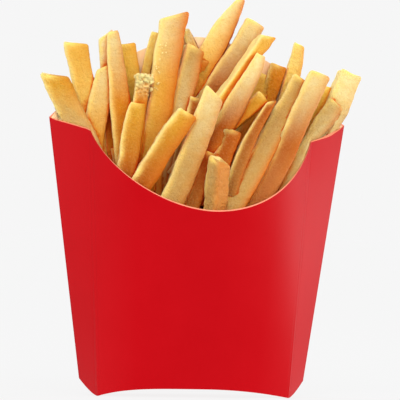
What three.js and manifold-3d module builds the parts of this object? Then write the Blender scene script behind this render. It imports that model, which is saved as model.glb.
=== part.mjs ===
// French fries standing in a folded paperboard carton. Millimetres, +Z up, the carton's front
// towards -Y. The carton is one folded sheet: a bulging front panel cut down in a scoop, a taller
// back panel with an arched top, two narrow side strips at each side fold, and an arched bottom
// that leaves the carton standing on its two ends. The fries are one heap: a core that fills the
// carton, and every fry that shows, fused to it.

import * as THREE from 'three';
import { mergeVertices } from 'three/addons/utils/BufferGeometryUtils.js';
import Module from 'manifold-3d';

// ---------------------------------------------------------------- driving dimensions (mm)

const BOARD = 0.5; // thickness of the paperboard
const GAP = 0.35; // kept free between the fries and the board

const FOLD = { bottomX: 42.9, bottomZ: 6, topX: 56.5, topZ: 101.5 }; // the side folds
const KINK_Z = 95.5; // height of the scoop's corners, where the score lines end

// Each panel at the table (low) and at the kinks' height (high): how far its left and right
// score lines lie to the side, and its distances from the plane of the side folds. The sheet is
// a little askew, so the front's wider side lies opposite the back's narrower one.
const WIDE = { low: 38.2, high: 42.6 };
const NARROW = { low: 34.3, high: 41.4 };
const FRONT = {
  left: WIDE,
  right: NARROW,
  score: { low: 10.5, high: 8 },
  bulge: { low: 15, high: 33 },
};
const BACK = {
  left: NARROW,
  right: WIDE,
  score: { low: 7, high: 3.5 },
  bulge: { low: 12, high: 6 },
};

const SCOOP_LOWEST = 68.8; // lowest point of the front's rim
const SCOOP_HEIGHT = 38; // half the height of the ovals that cut the scoop
const LEFT_KINK = { x: 42.8, z: 97.5, power: 1.85 }; // corner of the scoop, power of its oval
const RIGHT_KINK = { x: 41.3, z: 95.2, power: 2 };
const SHOULDER = { x: 50, z: 97.6 }; // bend of the rim between the right kink and its fold
const ARCH = { top: 132.8, power: 1.8 }; // the back's rim, 1 would be a straight slope
const BOTTOM = { rise: 3.1, leftPower: 4, rightPower: 2 }; // its arch is fuller on the left

const CORE_TOP = 64; // the heap is solid up to here, below the scoop
const OPEN_TOP = 170; // above every fry
const OUTSIDE = 80; // beyond every fry, sideways

const FRONT_COLUMNS = 22; // flat facets across each bulging panel
const LEVELS = [0, 0.2, 0.45, 0.7, 1]; // heights of the rings of facets, as fractions
const CURVE_STEPS = 12; // steps along each half of a curved cut

// A fry, unless its own row says otherwise.
const BOWED_LEVELS = [0, 0.4, 0.75, 0.97, 1]; // rings along a fry, from its foot to its tip
const STRAIGHT_LEVELS = [0, 0.95, 1];
const USUAL = {
  width: 5.8,
  depth: 5.5,
  turn: -8,
  tipWidth: 1,
  taper: 0.6,
  slant: 0,
  bend: 0,
  levels: BOWED_LEVELS,
};
const FRY_CHAMFER = 0.2; // of a fry's width, cut off each long edge
const TIP_SHRINK = 0.84; // size of the end face
const NARROWING_POWER = 1.5; // how gently a fry starts to narrow towards its tip
const SLANT_POWER = 6; // how near the tip the slant of the end is felt

// ---------------------------------------------------------------- materials

const redPrint = new THREE.MeshStandardMaterial({ color: '#cf1a22', roughness: 0.45, metalness: 0 });
const friedPotato = new THREE.MeshStandardMaterial({ color: '#eec06f', roughness: 0.6, metalness: 0 });

// ---------------------------------------------------------------- solids

const wasm = await Module();
wasm.setup();

// Closed triangle mesh -> solid. Corners that coincide are merged first, and the triangles
// that this leaves without an area are dropped.
function toSolid(geometry) {
  geometry.deleteAttribute('normal');
  geometry.deleteAttribute('uv');
  const merged = mergeVertices(geometry, 1e-4);
  const corners = merged.index.array;
  const kept = [];
  for (let i = 0; i < corners.length; i += 3) {
    const [a, b, c] = corners.slice(i, i + 3);
    if (a !== b && b !== c && c !== a) kept.push(a, b, c);
  }
  const vertProperties = new Float32Array(merged.attributes.position.array);
  return new wasm.Manifold(new wasm.Mesh({ numProp: 3, vertProperties, triVerts: new Uint32Array(kept) }));
}

// Solid -> flat-shaded geometry.
function toGeometry(solid) {
  const mesh = solid.getMesh();
  const geometry = new THREE.BufferGeometry();
  geometry.setAttribute('position', new THREE.BufferAttribute(new Float32Array(mesh.vertProperties), 3));
  geometry.setIndex(new THREE.BufferAttribute(new Uint32Array(mesh.triVerts), 1));
  const faceted = geometry.toNonIndexed();
  faceted.computeVertexNormals();
  return faceted;
}

// Triangles between two rows of points that run side by side, as a flat list of coordinates.
// From outside, the first row runs left to right below the second.
function strip(lower, upper) {
  const coordinates = [];
  for (let i = 0; i + 1 < lower.length; i++) {
    for (const p of [lower[i], lower[i + 1], upper[i + 1], lower[i], upper[i + 1], upper[i]]) {
      coordinates.push(p.x, p.y, p.z);
    }
  }
  return coordinates;
}

function geometryFrom(coordinates) {
  const geometry = new THREE.BufferGeometry();
  geometry.setAttribute('position', new THREE.BufferAttribute(new Float32Array(coordinates), 3));
  return geometry;
}

// ---------------------------------------------------------------- the carton's shape

const { lerp } = THREE.MathUtils;
const foldX = (z) => lerp(FOLD.bottomX, FOLD.topX, (z - FOLD.bottomZ) / (FOLD.topZ - FOLD.bottomZ));
const atHeight = (pair, z) => lerp(pair.low, pair.high, z / KINK_Z);
const scoreX = (panel, z, onLeft) => atHeight(onLeft ? panel.left : panel.right, z);
const bottomZ = (share) =>
  BOTTOM.rise * (1 - Math.abs(share) ** (share < 0 ? BOTTOM.leftPower : BOTTOM.rightPower));

// Distance of a panel from the plane of the side folds: a parabola between the score lines and
// a straight strip from each of them to the fold.
function panelDistance(panel, x, z) {
  const score = atHeight(panel.score, z);
  const bulge = atHeight(panel.bulge, z);
  const off = Math.abs(x);
  const edge = scoreX(panel, z, x < 0);
  if (off < edge) return score + (bulge - score) * (1 - (off / edge) ** 2);
  return (score * (foldX(z) - off)) / (foldX(z) - edge);
}

// A point of a panel, in one of the columns from the left fold over the left score line to the
// right ones. side is -1 for the front and 1 for the back.
function panelPoint(column, fraction, panel, side) {
  const last = FRONT_COLUMNS + 2;
  const atFold = column === 0 || column === last;
  const share = atFold ? Math.sign(column - 1) : (2 * (column - 1)) / FRONT_COLUMNS - 1;
  const z = lerp(atFold ? FOLD.bottomZ : bottomZ(share), OPEN_TOP, fraction);
  const x = share * (atFold ? foldX(z) : scoreX(panel, z, share < 0));
  return new THREE.Vector3(x, side * panelDistance(panel, x, z), z);
}

// Moves the points of a closed ring inwards, square to its sides, by a distance.
function insetRing(ring, distance) {
  return ring.map((point, i) => {
    const before = ring[(i + ring.length - 1) % ring.length];
    const after = ring[(i + 1) % ring.length];
    const arriving = new THREE.Vector2(point.x - before.x, point.y - before.y).normalize();
    const leaving = new THREE.Vector2(after.x - point.x, after.y - point.y).normalize();
    const inward = new THREE.Vector2(-arriving.y - leaving.y, arriving.x + leaving.x).normalize();
    const miter = distance / (inward.x * -arriving.y + inward.y * arriving.x);
    return new THREE.Vector3(point.x + inward.x * miter, point.y + inward.y * miter, point.z);
  });
}

// The space inside the folded sheet, shrunk by a distance all round, from the arched bottom up
// to a height above every fry. With no shrinking it is the carton's outer form.
function envelope(distance) {
  const last = FRONT_COLUMNS + 2;
  const columns = Array.from({ length: last + 1 }, (_, i) => i);
  const fronts = [];
  const backs = [];
  for (const fraction of LEVELS) {
    const front = columns.map((i) => panelPoint(i, fraction, FRONT, -1));
    const back = columns.map((i) => panelPoint(i, fraction, BACK, 1));
    const ring = insetRing([...front, ...back.slice(1, -1).reverse()], distance);
    if (fraction === 0) ring.forEach((point) => (point.z += distance));
    fronts.push(ring.slice(0, last + 1));
    backs.push([ring[0], ...ring.slice(last + 1).reverse(), ring[last]]);
  }
  const top = LEVELS.length - 1;
  const coordinates = [...strip(backs[0], fronts[0]), ...strip(fronts[top], backs[top])];
  for (let level = 0; level < top; level++) {
    coordinates.push(...strip(fronts[level], fronts[level + 1]));
    coordinates.push(...strip(backs[level + 1], backs[level]));
  }
  return toSolid(geometryFrom(coordinates));
}

// Everything above an outline, seen from the front, as a slab on one side of the fold plane.
function slabAbove(drawRim, lift, side) {
  const shape = new THREE.Shape();
  shape.moveTo(-OUTSIDE, OPEN_TOP + lift);
  shape.lineTo(-OUTSIDE, FOLD.topZ + lift);
  drawRim(shape, lift);
  shape.lineTo(OUTSIDE, FOLD.topZ + lift);
  shape.lineTo(OUTSIDE, OPEN_TOP + lift);
  const slab = new THREE.ExtrudeGeometry(shape, {
    depth: OUTSIDE,
    bevelEnabled: false,
  });
  slab.rotateX(Math.PI / 2);
  if (side > 0) slab.translate(0, OUTSIDE, 0);
  return toSolid(slab);
}

// Half of the scoop, as points from its lowest one out to its kink: an oval with its centre
// above the middle, wide enough to pass through the kink.
function scoopHalf(kink, side, lift) {
  const centre = SCOOP_LOWEST + SCOOP_HEIGHT;
  const level = (1 - ((centre - kink.z) / SCOOP_HEIGHT) ** kink.power) ** (1 / kink.power);
  return Array.from({ length: CURVE_STEPS + 1 }, (_, i) => {
    const share = Math.sin((i / CURVE_STEPS) * (Math.PI / 2));
    const z = centre - SCOOP_HEIGHT * (1 - (share * level) ** kink.power) ** (1 / kink.power);
    return new THREE.Vector2(side * share * kink.x, z + lift);
  });
}

// The front's rim: straight from the left fold to the kink, the two halves of the scoop, and
// over the shoulder to the right fold.
function drawScoop(shape, lift) {
  shape.lineTo(-FOLD.topX, FOLD.topZ + lift);
  const rim = [...scoopHalf(LEFT_KINK, -1, lift).reverse(), ...scoopHalf(RIGHT_KINK, 1, lift).slice(1)];
  rim.forEach((point) => shape.lineTo(point.x, point.y));
  shape.lineTo(SHOULDER.x, SHOULDER.z + lift);
  shape.lineTo(FOLD.topX, FOLD.topZ + lift);
}

// The back's rim: an arch from fold to fold, lower by a power of the way out from the middle.
function drawArch(shape, lift) {
  for (let i = -CURVE_STEPS; i <= CURVE_STEPS; i++) {
    const share = i / CURVE_STEPS;
    const drop = (ARCH.top - FOLD.topZ) * Math.abs(share) ** ARCH.power;
    shape.lineTo(share * FOLD.topX, ARCH.top - drop + lift);
  }
}

const aboveRim = (lift) => slabAbove(drawScoop, lift, -1).add(slabAbove(drawArch, lift, 1));

function cartonSolid() {
  return envelope(0).subtract(envelope(BOARD)).subtract(aboveRim(0));
}

// ---------------------------------------------------------------- the fries

const fry = (tip, foot, own = {}) => ({
  ...USUAL,
  ...own,
  tip: new THREE.Vector3(...tip),
  foot: new THREE.Vector3(...foot),
});

// The fries that show, from left to right: the middle of the tip, a point of the axis down in
// the carton, and what differs from a usual fry. width lies across the fry and depth through
// it, turn is the angle about its axis, tipWidth the share of the width left at the tip, taper
// the share of the length where it starts to change, slant how much higher the cut end is at
// its right, and bend how far the middle bows to the right.
const showing = [
  fry([-55.9, -3, 116.8], [-33.4, -5.5, 72], { width: 9, turn: -23, slant: -5.2 }),
  fry([-46.9, 1.5, 128.9], [-31.3, 2, 60], { width: 7, turn: 3, slant: -2.2 }),
  fry([-35.4, 2, 132.6], [-29.2, 2, 62], { width: 5.2, depth: 4.5, slant: 3 }),
  fry([-36.3, -1, 120.4], [-43.2, -1, 80], {
    width: 6.6, turn: -2, tipWidth: 0.75, taper: 0.6, slant: 2.5,
  }),
  fry([-34.2, -4, 133.4], [-24.8, -6, 60], { width: 7.4, tipWidth: 0.5 }),
  fry([-28.3, 2, 129.2], [-14.2, 0, 60], { width: 5, depth: 4.8, turn: 25, slant: -0.5 }),
  fry([-26.4, -13, 107.2], [-33.4, -12, 62], { width: 6.8, turn: -5, tipWidth: 0.75, taper: 0.8 }),
  fry([-23.4, -9, 118.0], [-29.3, -9.5, 62], { width: 5.4, turn: -10 }),
  fry([-16.4, 2.5, 134.0], [-30.3, 3.5, 75], { width: 3.1, depth: 3.4, turn: 5, tipWidth: 0.7 }),
  fry([-11.3, -5, 140.0], [-24.2, -9, 70], {
    width: 5.6, depth: 5.8, turn: 24, tipWidth: 1.34, taper: 0.2, slant: 4.5, bend: 0.5,
  }),
  fry([-9.5, -21, 104.1], [-32.0, -14, 66], { width: 7, turn: 12, bend: -1 }),
  fry([-4.8, 2.5, 135.2], [11.6, 3.5, 92], { width: 5, tipWidth: 0.5, taper: 0.5 }),
  fry([-3.0, -9, 109.8], [-11.0, -10, 78], { width: 4.5, depth: 4.5, turn: 5 }),
  fry([-3.0, -3, 128.4], [-17.8, -8, 72], { width: 6.9, depth: 6.4, turn: 18, slant: -1 }),
  fry([0.7, -19, 111.6], [-19.4, -17, 60], { width: 8.6, depth: 6, tipWidth: 0.9, slant: -3.2, bend: 1 }),
  fry([1.5, 2, 124.3], [-8.2, 0, 62], { width: 6.5, slant: -1 }),
  fry([2.3, -23, 86.8], [-0.2, -21, 60], { width: 6.8, depth: 6.4, turn: -60, slant: -3 }),
  fry([0.9, -16, 90.0], [-9.6, -15, 58], { width: 6.8, turn: -15 }),
  fry([9.6, -14, 98.0], [-1.1, -15, 70], { width: 7.2, turn: -15 }),
  fry([15.6, 1, 146.8], [-18.9, 3, 86], { width: 8.3, turn: -20, tipWidth: 0.3, taper: 0.8, slant: 1.5 }),
  fry([19.9, -13, 125.9], [-10.7, -12, 80], { width: 7.4, depth: 6, turn: -20, tipWidth: 0.45, bend: 3 }),
  fry([21.1, 0, 138.6], [-13.1, 0, 82], { width: 6.4, turn: 5, slant: 0.5 }),
  fry([23.6, -8, 133.6], [-9.3, -9, 84], {
    width: 4.8, depth: 4.4, turn: 15, tipWidth: 1.2, slant: 2, bend: -1.2,
  }),
  fry([23.7, -15, 109.1], [4.6, -18, 62], { width: 5.2, tipWidth: 0.6, taper: 0.5, slant: 2, bend: -2.5 }),
  fry([21.9, -10, 110.8], [-8.0, -11, 85], { width: 5.2, depth: 5 }),
  fry([26.5, 3, 119.5], [7.2, 2, 70], { width: 6 }),
  fry([31.0, 2, 123.0], [11.5, 3, 66], { width: 6 }),
  fry([38.8, 2, 131.1], [25.1, 3, 60], {
    width: 5.9, depth: 5, turn: -3, tipWidth: 0.65, taper: 0.7, slant: -1,
  }),
  fry([38.3, -6, 117.1], [6.5, -20, 66], { width: 7.4, turn: 0, slant: -2 }),
  fry([43.1, -11, 119.7], [13.6, -16, 60], {
    width: 7.2, depth: 6, turn: -5, tipWidth: 0.95, slant: 0.5, bend: 0.6,
  }),
  fry([50.5, 1, 115.4], [35.2, 2, 75], { width: 5.5, depth: 5, turn: -5, slant: 1 }),
  fry([51.8, -3, 109.0], [23.0, -15, 66], { width: 7.4, turn: -15, tipWidth: 0.9, slant: -2 }),
  fry([58.0, -1, 121.0], [33.4, -4, 62], { width: 8.3, turn: -13, slant: 0.3 }),
];

// Shorter fries that fill the heap behind and between those, in rows from the back to the
// front: share of the way from the fold plane to the back (above 0) or the front (below 0),
// how far the row reaches sideways, how many fries, and how high they end.
const FILLER_ROWS = [
  { share: 0.66, reach: 32, count: 8, tipZ: 92 },
  { share: 0.1, reach: 35, count: 8, tipZ: 88 },
  { share: -0.3, reach: 33, count: 8, tipZ: 84 },
  { share: -0.68, reach: 28, count: 7, tipZ: 71 },
];
const FILLER_FOOT_Z = 58;
const FILLER_FAN = 1.25; // how much wider a row is at its tips than at its feet
const FILLER_JITTER = { x: 3, share: 0.15, z: 8, turn: 60 }; // full spread of the random part
const SEED = 11;

// Seeded draw between -0.5 and 0.5.
function makeDraw(seed) {
  let state = seed;
  return () => {
    state = (state * 16807) % 2147483647;
    return state / 2147483647 - 0.5;
  };
}

function fillerFries() {
  const draw = makeDraw(SEED);
  return FILLER_ROWS.flatMap(({ share, reach, count, tipZ }) =>
    Array.from({ length: count }, (_, i) => {
      const footX = reach * ((2 * i) / (count - 1) - 1) + FILLER_JITTER.x * draw();
      const ownShare = share + FILLER_JITTER.share * draw();
      const panel = ownShare < 0 ? FRONT : BACK;
      const place = (x, z) => [x, ownShare * panelDistance(panel, x, z), z];
      const tip = place(FILLER_FAN * footX, tipZ + FILLER_JITTER.z * draw());
      const foot = place(footX, FILLER_FOOT_Z);
      return fry(tip, foot, { turn: FILLER_JITTER.turn * draw(), levels: STRAIGHT_LEVELS });
    })
  );
}

// A square bar with chamfered edges along a bowed axis, its end cut aslant and a little smaller.
function fryGeometry({ tip, foot, width, depth, turn, tipWidth, taper, slant, bend, levels }) {
  const axis = new THREE.Vector3().subVectors(tip, foot);
  const length = axis.length();
  axis.normalize();
  const right = new THREE.Vector3(1, 0, 0).addScaledVector(axis, -axis.x).normalize();
  const across = right.clone().applyAxisAngle(axis, THREE.MathUtils.degToRad(turn));
  const through = new THREE.Vector3().crossVectors(axis, across);
  const cut = 1 - 2 * FRY_CHAMFER;
  const section = [[-cut, -1], [cut, -1], [1, -cut], [1, cut], [cut, 1], [-cut, 1], [-1, cut], [-1, -cut]];
  const rings = levels.map((fraction) => {
    const narrowing = Math.max(0, (fraction - taper) / (1 - taper)) ** NARROWING_POWER;
    const size = fraction === 1 ? TIP_SHRINK : 1;
    const centre = foot.clone().addScaledVector(axis, length * fraction);
    centre.addScaledVector(right, bend * 4 * fraction * (1 - fraction));
    const ring = section.map(([a, b]) =>
      centre
        .clone()
        .addScaledVector(across, (a * size * width * lerp(1, tipWidth, narrowing)) / 2)
        .addScaledVector(through, (b * size * depth) / 2)
        .addScaledVector(axis, (a * slant * fraction ** SLANT_POWER) / 2)
    );
    return [...ring, ring[0]];
  });
  const coordinates = [];
  for (let i = 0; i + 1 < rings.length; i++) coordinates.push(...strip(rings[i], rings[i + 1]));
  const ends = [rings[0].map(() => foot), rings.at(-1).map(() => tip)];
  coordinates.push(...strip(ends[0], rings[0]), ...strip(rings.at(-1), ends[1]));
  return geometryFrom(coordinates);
}

function heapSolid() {
  const inside = envelope(BOARD + GAP);
  const table = new THREE.BoxGeometry(2 * OUTSIDE, 2 * OUTSIDE, 2 * CORE_TOP);
  let heap = inside.intersect(toSolid(table));
  for (const row of [...fillerFries(), ...showing]) heap = heap.add(toSolid(fryGeometry(row)));
  const pieces = heap.intersect(inside.add(aboveRim(GAP))).decompose();
  return pieces.reduce((largest, piece) => (piece.volume() > largest.volume() ? piece : largest));
}

// ---------------------------------------------------------------- the object

const carton = new THREE.Mesh(toGeometry(cartonSolid()), redPrint);
carton.name = 'carton';

const fries = new THREE.Mesh(toGeometry(heapSolid()), friedPotato);
fries.name = 'fries';

// The origin is on the table, under the middle of everything that stands on it.
const friesInCarton = new THREE.Group();
friesInCarton.add(carton, fries);
const middle = new THREE.Box3().setFromObject(friesInCarton).getCenter(new THREE.Vector3());
friesInCarton.position.set(-middle.x, -middle.y, 0);

export default friesInCarton;
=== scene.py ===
# %% [markdown]
# # French fries in a folded carton
# The object is a takeaway carton folded from one sheet of paperboard, filled with fries that
# stand up out of it. The solids of the part are already there, as the frame. This lesson puts
# the finish on: a thin printed sheet in place of the carton's facets, and real fries, each one
# with its own shape and colour, in place of the plain bars.

# %% Load the frame and note its size
import math
import bmesh
import bpy
import numpy as np
from mathutils import Matrix, Vector
from mathutils.bvhtree import BVHTree


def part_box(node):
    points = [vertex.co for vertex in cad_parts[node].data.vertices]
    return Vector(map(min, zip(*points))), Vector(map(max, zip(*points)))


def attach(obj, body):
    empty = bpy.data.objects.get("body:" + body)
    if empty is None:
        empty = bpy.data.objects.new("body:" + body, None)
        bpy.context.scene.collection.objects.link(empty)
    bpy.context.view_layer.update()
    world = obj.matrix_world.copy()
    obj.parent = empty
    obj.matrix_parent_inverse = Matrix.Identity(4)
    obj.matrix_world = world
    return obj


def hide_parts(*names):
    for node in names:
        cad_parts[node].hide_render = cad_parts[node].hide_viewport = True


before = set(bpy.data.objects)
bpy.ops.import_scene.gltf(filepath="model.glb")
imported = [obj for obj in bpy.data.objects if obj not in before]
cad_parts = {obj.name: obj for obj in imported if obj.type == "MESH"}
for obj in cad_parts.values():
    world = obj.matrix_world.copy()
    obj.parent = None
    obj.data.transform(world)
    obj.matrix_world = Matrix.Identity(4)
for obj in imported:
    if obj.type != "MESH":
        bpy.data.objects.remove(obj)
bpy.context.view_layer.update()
MM = 0.001
print("nodes:", sorted(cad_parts))

# %% [markdown]
# ## From a grid of points to a mesh
# Every surface here is worked out with numpy as a grid of points: one number runs along it and
# one across it. Small helpers turn grids into meshes. One lists the four-sided faces between
# neighbouring points, one joins several grids, and one hands the arrays to Blender in one go,
# together with any named value per point that a material wants to read later. Where a grid
# shrinks to a point, or two grids meet, the doubled points are merged afterwards.

# %% Helpers: faces of a grid, and a mesh from arrays
def grid_faces(rows, columns, closed=False):
    """Quads of a grid: point (r, c) joins (r, c + 1), (r + 1, c + 1) and (r + 1, c). In a closed
    grid the last column joins the first one again."""
    r, c = np.meshgrid(np.arange(rows - 1), np.arange(columns - 1 + closed), indexing="ij")
    d = (c + 1) % columns
    here, above = r * columns, (r + 1) * columns
    return np.stack([here + c, here + d, above + d, above + c], -1).reshape(-1, 4)


def joined(grids, faces):
    """Several grids as one: their points in one list, and the faces of each with the number of
    its grid's first point added."""
    starts = np.cumsum([0] + [grid[..., 0].size for grid in grids[:-1]])
    points = np.concatenate([grid.reshape(-1, 3) for grid in grids])
    return points, np.concatenate([quads + start for quads, start in zip(faces, starts)])


def make_object(name, points, faces, values=None, slots=None):
    """A mesh object from points in mm, quads, named values per point and a material slot number
    per face. Values with one number per point become floats, those with three become colours."""
    mesh = bpy.data.meshes.new(name)
    mesh.from_pydata((points * MM).tolist(), [], faces.tolist())
    for key, data in (values or {}).items():
        if data.ndim == 1:
            carrier = mesh.attributes.new(key, "FLOAT", "POINT")
            carrier.data.foreach_set("value", data.astype(np.float32))
        else:
            four = np.column_stack([data, np.ones(len(data))]).astype(np.float32)
            carrier = mesh.attributes.new(key, "FLOAT_COLOR", "POINT")
            carrier.data.foreach_set("color", four.ravel())
    if slots is not None:
        mesh.polygons.foreach_set("material_index", slots.astype(np.int32))
    mesh.polygons.foreach_set("use_smooth", np.ones(len(mesh.polygons), bool))
    mesh.update()
    piece = bpy.data.objects.new(name, mesh)
    bpy.context.scene.collection.objects.link(piece)
    return piece


def merge_doubles(piece, reach, shortest=0.0):
    """Points closer together than the reach, in mm, become one, and faces with an edge below
    the shortest length are dissolved."""
    shell = bmesh.new()
    shell.from_mesh(piece.data)
    bmesh.ops.remove_doubles(shell, verts=shell.verts, dist=reach * MM)
    if shortest:
        bmesh.ops.dissolve_degenerate(shell, edges=shell.edges, dist=shortest * MM)
    shell.to_mesh(piece.data)
    shell.free()


def closed_faces_ok(piece):
    """True if every edge of the mesh has exactly two faces and its volume is positive."""
    shell = bmesh.new()
    shell.from_mesh(piece.data)
    closed = all(len(edge.link_faces) == 2 for edge in shell.edges)
    volume = shell.calc_volume(signed=True)
    shell.free()
    return closed and volume > 0


print("a grid of 3 x 4 points has", len(grid_faces(3, 4)), "faces")

# %% [markdown]
# ## The carton as a function
# A real carton of this kind is a flat die-cut sheet. Four score lines and two side folds make
# it bulge when it is opened. Seen from above, each panel is a parabola between its score lines,
# with a straight narrow strip from each score line to the side fold. Score lines and folds lean
# outwards, but every upright line of the sheet is straight. So a formula of x and z gives the
# whole shape, and it needs only the distances at the table and at the scoop's corners. Box
# modelling with bevels would get the bulge less even.

# %% The sheet's measures and its distance from the fold plane
BOARD = 0.5  # thickness of the board, mm
FOLD = dict(low_x=42.9, low_z=6.0, top_x=56.5, top_z=101.5)  # side folds
KINK_Z = 95.5  # height of the scoop's corners
WIDE, NARROW = (38.2, 42.6), (34.3, 41.4)  # x of a score line, at the table and at the corners
FRONT = dict(side=-1, left=WIDE, right=NARROW, score=(10.5, 8.0), bulge=(15.0, 33.0))
BACK = dict(side=1, left=NARROW, right=WIDE, score=(7.0, 3.5), bulge=(12.0, 6.0))
ARCH_TOP, ARCH_POWER = 132.8, 1.8  # top of the back, power of its curve
BOTTOM_RISE = 3.1  # rise of the bottom between the feet

carton_low, carton_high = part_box("carton")


def at_height(pair, z):
    """Straight line from the first number at the table to the second one at the kink."""
    return pair[0] + (pair[1] - pair[0]) * z / KINK_Z


def score_x(panel, z, on_left):
    """How far a panel's score line lies to the side, growing evenly with height."""
    return np.where(on_left, at_height(panel["left"], z), at_height(panel["right"], z))


def fold_x(z):
    """Half the distance between the side folds, growing evenly with height."""
    share = (z - FOLD["low_z"]) / (FOLD["top_z"] - FOLD["low_z"])
    return FOLD["low_x"] + (FOLD["top_x"] - FOLD["low_x"]) * share


def sheet_distance(panel, x, z):
    """Distance of a panel from the plane of the folds: between the score lines a parabola,
    score + (bulge - score) (1 - (x / score_x)^2), and beyond them a straight line down to 0
    at the fold."""
    score, bulge = at_height(panel["score"], z), at_height(panel["bulge"], z)
    off, edge = np.abs(x), score_x(panel, z, x < 0)
    curved = score + (bulge - score) * (1 - (off / edge) ** 2)
    straight = score * (fold_x(z) - off) / (fold_x(z) - edge)
    return np.where(off < edge, curved, straight)


# The back reaches furthest at its lower edge, so the fold plane lies that far in front of it.
FOLD_PLANE_Y = carton_high.y / MM - float(sheet_distance(BACK, 0.0, BOTTOM_RISE))
MIDDLE_X = (carton_low.x + carton_high.x) / 2 / MM
SHIFT = np.array([MIDDLE_X, FOLD_PLANE_Y, 0.0])
print("carton's folds lie in the plane y =", round(FOLD_PLANE_Y, 2), "mm")

# %% [markdown]
# ## Where the sheet ends
# The front is cut down in a scoop between the two score lines, and its right corner lies a
# little lower than its left one. From the corners the rim runs straight on to the folds. The
# back ends in an arch. A column of the sheet leans, so the height where it meets its rim is
# found by trying a height, reading off where the column then is, and asking the rim for its
# height there, a few times over.

# %% Rims, and the columns of the sheet
SCOOP_LOW, SCOOP_HALF = 68.8, 38.0  # lowest point, and half the height of the whole oval
LEFT_SCOOP = dict(x=42.8, z=97.5, power=1.85)  # corner of the scoop, power of its curve
RIGHT_SCOOP = dict(x=41.3, z=95.2, power=2.0)
SHOULDER_X, SHOULDER_Z = 50.0, 97.6  # bend of the rim right of the scoop
ARCH_CURVES, FOOT_CURVE = (4, 2), 1.6  # powers of the bottom's arch, left and right, and beyond
CUT_SLOPE = 0.9  # the knife leaves the outer face this much lower than the inner one, per mm
FOLD_MITER = 1.6  # an inner fold lies this many board thicknesses inside the outer one
RIM_ROUNDS, SLOPE_STEP = 12, 0.05  # tries to find the rim, and mm over which a slope is taken


def scoop_half(off, corner):
    """Height of one half of the scoop: centre - half (1 - (off / width)^power)^(1 / power),
    with the width that makes it pass through its corner."""
    centre, power = SCOOP_LOW + SCOOP_HALF, corner["power"]
    level = (1 - ((centre - corner["z"]) / SCOOP_HALF) ** power) ** (1 / power)
    share = np.minimum(off / corner["x"], 1) * level
    return centre - SCOOP_HALF * (1 - share**power) ** (1 / power)


def front_rim(x):
    """Height of the front's rim: the two halves of the scoop, and beyond them straight lines
    to the folds, on the right with a bend at the shoulder."""
    left, right, top = LEFT_SCOOP, RIGHT_SCOOP, (FOLD["top_x"], FOLD["top_z"])
    beyond_left = np.interp(-x, [left["x"], top[0]], [left["z"], top[1]])
    beyond_right = np.interp(x, [right["x"], SHOULDER_X, top[0]], [right["z"], SHOULDER_Z, top[1]])
    on_left = np.where(-x < left["x"], scoop_half(np.abs(x), left), beyond_left)
    on_right = np.where(x < right["x"], scoop_half(np.abs(x), right), beyond_right)
    return np.where(x < 0, on_left, on_right)


def back_rim(x):
    """Height of the arch: highest in the middle, and lower by a power of the way to the folds."""
    return ARCH_TOP - (ARCH_TOP - FOLD["top_z"]) * (np.abs(x) / FOLD["top_x"]) ** ARCH_POWER


def bottom_height(share):
    """Rise of the bottom: rise (1 - share^power) between the feet, with a fuller curve on the
    left, and from the feet up again by a power to the lower ends of the folds."""
    off = np.abs(share)
    arch = BOTTOM_RISE * (1 - np.minimum(off, 1) ** np.where(share < 0, *ARCH_CURVES))
    return np.where(off < 1, arch, FOLD["low_z"] * np.maximum(off - 1, 0) ** FOOT_CURVE)


def column_x(panel, share, z, inset):
    """Half width at a share of the sheet: up to 1 a share of the way to the score line, from 1
    to 2 the way on to the fold, which an inner sheet reaches a little earlier."""
    off, edge = np.abs(share), score_x(panel, z, share < 0)
    beyond = edge + (off - 1) * (fold_x(z) - inset * FOLD_MITER - edge)
    return np.sign(share) * np.where(off < 1, off * edge, beyond)


def sheet_points(panel, rim, shares, rows, inset):
    """Grid of points of a panel. Each column runs straight from the arched bottom to where its
    rim is. The inner sheet lies inset mm further in, measured square to the board, which takes
    the inset times the root of 1 + slope^2 off the distance."""
    off, top_x = np.abs(shares), FOLD["top_x"]
    low = bottom_height(shares) + inset
    high = np.full_like(low, FOLD["top_z"])
    for _ in range(RIM_ROUNDS):
        high = rim(np.clip(column_x(panel, shares, high, inset), -top_x, top_x))
    high = high - CUT_SLOPE * (BOARD - inset) * (off < 2)
    z = low + (high - low) * np.linspace(0, 1, rows)[:, None]
    x = column_x(panel, shares, z, inset)
    distance = sheet_distance(panel, x, z)
    slope = (sheet_distance(panel, x - SLOPE_STEP * np.sign(x), z) - distance) / SLOPE_STEP
    distance = np.where(off < 2, distance - inset * np.sqrt(1 + slope**2), 0)
    return np.stack([x, panel["side"] * distance, z], -1)


STRIP = np.linspace(1, 2, 9)[1:]  # columns of a side strip
ACROSS = np.sin(np.linspace(-0.5, 0.5, 81) * math.pi)  # of a panel, closer together at its ends
SHARES = np.concatenate([-STRIP[::-1], ACROSS, STRIP])
front = sheet_points(FRONT, front_rim, SHARES, 3, 0)
print("the scoop's lowest point is at", front[-1, :, 2].min().round(1), "mm")

# %% [markdown]
# ## The sheet as one closed shell
# An outer and an inner sheet, joined along the cut rim and both closed by an arched bottom,
# make a shell half a millimetre thick with no open edge. A Solidify modifier could thicken one
# sheet, but here the knife's slanted cut and the tight folds get their own formula. The finish
# differs: red print outside, bare board inside, and the board's core on the cut edge, so each
# face also gets the number of its material.

# %% Build the carton
SHEET_ROWS, BOTTOM_ROWS = 25, 7
PRINT, BARE, CUT = 0, 1, 2


def both_panels(rims, rows, inset):
    """The front's and the back's grid of points."""
    pairs = zip((FRONT, BACK), rims)
    return [sheet_points(panel, rim, SHARES, rows, inset) for panel, rim in pairs]


def round_wall(front, back):
    """The front's columns from left to right, and then the back's from right to left."""
    return np.concatenate([front, back[:, -2:0:-1]], axis=1)


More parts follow.
